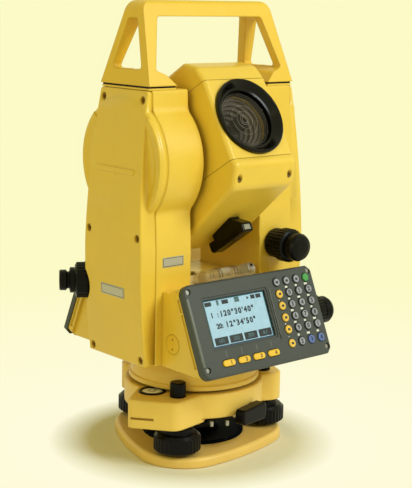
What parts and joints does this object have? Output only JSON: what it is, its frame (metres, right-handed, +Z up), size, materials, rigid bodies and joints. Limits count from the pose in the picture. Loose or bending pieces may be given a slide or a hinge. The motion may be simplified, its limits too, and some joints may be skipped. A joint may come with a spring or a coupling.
{
  "type": "surveying total station",
  "caption": "Surveying total station: telescope between two standards with a carrying handle, a keyboard and display on both faces, on a levelling tribrach.",
  "frame": {"origin": "on the vertical axis at the underside of the base plate, in the mouth of the tripod thread", "axes": "+Z up along the vertical axis, -Y towards the front keyboard, +X to the right as seen from the front keyboard"},
  "size_m": [0.1814, 0.172, 0.335],
  "materials": {
    "yellow_paint": "satin",
    "yellow_plastic": "satin",
    "black_plastic": "satin",
    "black_gloss": "gloss",
    "black_steel": "satin",
    "steel": "brushed",
    "silver_metal": "satin",
    "panel_grey": "matte",
    "display": "gloss",
    "window_glass": "clear",
    "lens_glass": "coated",
    "level_glass": "clear",
    "circle_glass": "clear",
    "key_rubber": "matte",
    "yellow_key": "matte",
    "green_key": "matte"
  },
  "bodies": {
    "tribrach": {"base_plate": "yellow_paint", "spring_plate": "black_steel", "tribrach_body": "yellow_paint", "foot_screw_caps": "black_plastic", "circular_level_housing": "black_plastic", "circular_level_vial": "level_glass", "centring_adapter": "steel", "horizontal_circle": "circle_glass"},
    "foot_screw_1": {"foot_screw_1": "black_plastic"},
    "foot_screw_2": {"foot_screw_2": "black_plastic"},
    "foot_screw_3": {"foot_screw_3": "black_plastic"},
    "lock_lever": {"tribrach_lock_lever": "black_plastic"},
    "telescope": {"telescope_shell": "yellow_paint", "telescope_top_cover": "yellow_paint", "telescope_bottom_cover": "yellow_paint", "objective_ring": "black_gloss", "objective_lens": "lens_glass", "laser_tube": "black_steel", "optical_sight": "black_gloss", "eyepiece_tube": "black_steel", "trunnion_axles": "steel", "vertical_circle": "circle_glass"},
    "focus_ring": {"focus_ring": "black_plastic"},
    "eyepiece": {"eyepiece": "black_plastic"},
    "vertical_clamp": {"vertical_clamp_ring": "black_plastic"},
    "vertical_tangent": {"vertical_tangent_knob": "black_plastic"},
    "horizontal_clamp": {"horizontal_clamp_ring": "black_plastic"},
    "horizontal_tangent": {"horizontal_tangent_knob": "black_plastic"},
    "plummet_focus": {"plummet_focus_ring": "black_plastic"},
    "plummet_eyepiece": {"plummet_eyepiece": "black_plastic"},
    "power_key": {"front_power_key": "green_key"},
    "soft_key_1": {"front_soft_key_1": "yellow_key"},
    "soft_key_2": {"front_soft_key_2": "yellow_key"},
    "soft_key_3": {"front_soft_key_3": "yellow_key"},
    "soft_key_4": {"front_soft_key_4": "yellow_key"},
    "alidade": {"alidade_platform": "yellow_paint", "alidade_skirt": "yellow_paint", "back_display": "display", "back_display_window": "window_glass", "back_key_mat": "key_rubber", "back_keyboard_housing": "yellow_paint", "back_keyboard_panel": "panel_grey", "battery_pack": "yellow_plastic", "carrying_handle": "yellow_plastic", "casing_screws": "steel", "front_display": "display", "front_display_window": "window_glass", "front_key_mat": "key_rubber", "front_keyboard_housing": "yellow_paint", "front_keyboard_panel": "panel_grey", "handle_screws": "steel", "left_side_cover": "yellow_paint", "left_standard": "yellow_paint", "plate_level_holder": "silver_metal", "plate_level_vial": "level_glass", "plummet_tube": "black_plastic", "port_plug": "yellow_plastic", "right_side_cover": "yellow_paint", "right_standard": "yellow_paint", "vertical_spindle": "steel"}
  },
  "joints": [
    {"name": "alidade_turn", "type": "hinge", "parent": "tribrach", "child": "alidade", "pos_m": [0, 0, 0], "axis": [0, 0, 1], "continuous": true},
    {"name": "telescope_tilt", "type": "hinge", "parent": "alidade", "child": "telescope", "pos_m": [0, 0, 0.2216], "axis": [1, 0, 0], "continuous": true},
    {"name": "lock_lever_turn", "type": "hinge", "parent": "tribrach", "child": "lock_lever", "pos_m": [0.01247, -0.05869, 0.0346], "axis": [-0.2079, 0.9781, 0], "range_deg": [0, 180]},
    {"name": "focus_ring_turn", "type": "hinge", "parent": "telescope", "child": "focus_ring", "pos_m": [0, 0.04295, 0.196], "axis": [0, 0.859, -0.512], "range_deg": [-180, 180]},
    {"name": "eyepiece_turn", "type": "hinge", "parent": "telescope", "child": "eyepiece", "pos_m": [0, 0.06013, 0.18576], "axis": [0, 0.859, -0.512], "range_deg": [-150, 150]},
    {"name": "vertical_clamp_turn", "type": "hinge", "parent": "alidade", "child": "vertical_clamp", "pos_m": [0.0485, -0.0349, 0.1553], "axis": [0, -1, 0], "range_deg": [0, 100]},
    {"name": "vertical_tangent_turn", "type": "hinge", "parent": "alidade", "child": "vertical_tangent", "pos_m": [0.0485, -0.0349, 0.1553], "axis": [0, -1, 0], "range_deg": [-1800, 1800]},
    {"name": "horizontal_clamp_turn", "type": "hinge", "parent": "alidade", "child": "horizontal_clamp", "pos_m": [0.0606, -0.0515, 0.1003], "axis": [1, 0, 0], "range_deg": [0, 100]},
    {"name": "horizontal_tangent_turn", "type": "hinge", "parent": "alidade", "child": "horizontal_tangent", "pos_m": [0.0606, -0.0515, 0.1003], "axis": [1, 0, 0], "range_deg": [-1800, 1800]},
    {"name": "plummet_focus_turn", "type": "hinge", "parent": "alidade", "child": "plummet_focus", "pos_m": [-0.07129, 0.0463, 0.127], "axis": [-0.8387, 0.5447, 0], "range_deg": [-150, 150]},
    {"name": "plummet_eyepiece_turn", "type": "hinge", "parent": "alidade", "child": "plummet_eyepiece", "pos_m": [-0.07967, 0.05174, 0.127], "axis": [-0.8387, 0.5447, 0], "range_deg": [-150, 150]},
    {"name": "foot_screw_1_turn", "type": "hinge", "parent": "tribrach", "child": "foot_screw_1", "pos_m": [-0.04492, -0.03509, 0.02], "axis": [0, 0, 1], "range_deg": [-1080, 1080]},
    {"name": "foot_screw_2_turn", "type": "hinge", "parent": "tribrach", "child": "foot_screw_2", "pos_m": [0.05285, -0.02135, 0.02], "axis": [0, 0, 1], "range_deg": [-1080, 1080]},
    {"name": "foot_screw_3_turn", "type": "hinge", "parent": "tribrach", "child": "foot_screw_3", "pos_m": [-0.00793, 0.05645, 0.02], "axis": [0, 0, 1], "range_deg": [-1080, 1080]},
    {"name": "power_key_press", "type": "slide", "parent": "alidade", "child": "power_key", "axis": [0, 0.9146, -0.4043], "range_m": [0, 0.0008], "stiffness_N_per_m": 1000, "springref_m": -0.0006},
    {"name": "soft_key_1_press", "type": "slide", "parent": "alidade", "child": "soft_key_1", "axis": [0, 0.9146, -0.4043], "range_m": [0, 0.0008], "stiffness_N_per_m": 1000, "springref_m": -0.0006},
    {"name": "soft_key_2_press", "type": "slide", "parent": "alidade", "child": "soft_key_2", "axis": [0, 0.9146, -0.4043], "range_m": [0, 0.0008], "stiffness_N_per_m": 1000, "springref_m": -0.0006},
    {"name": "soft_key_3_press", "type": "slide", "parent": "alidade", "child": "soft_key_3", "axis": [0, 0.9146, -0.4043], "range_m": [0, 0.0008], "stiffness_N_per_m": 1000, "springref_m": -0.0006},
    {"name": "soft_key_4_press", "type": "slide", "parent": "alidade", "child": "soft_key_4", "axis": [0, 0.9146, -0.4043], "range_m": [0, 0.0008], "stiffness_N_per_m": 1000, "springref_m": -0.0006}
  ]
}
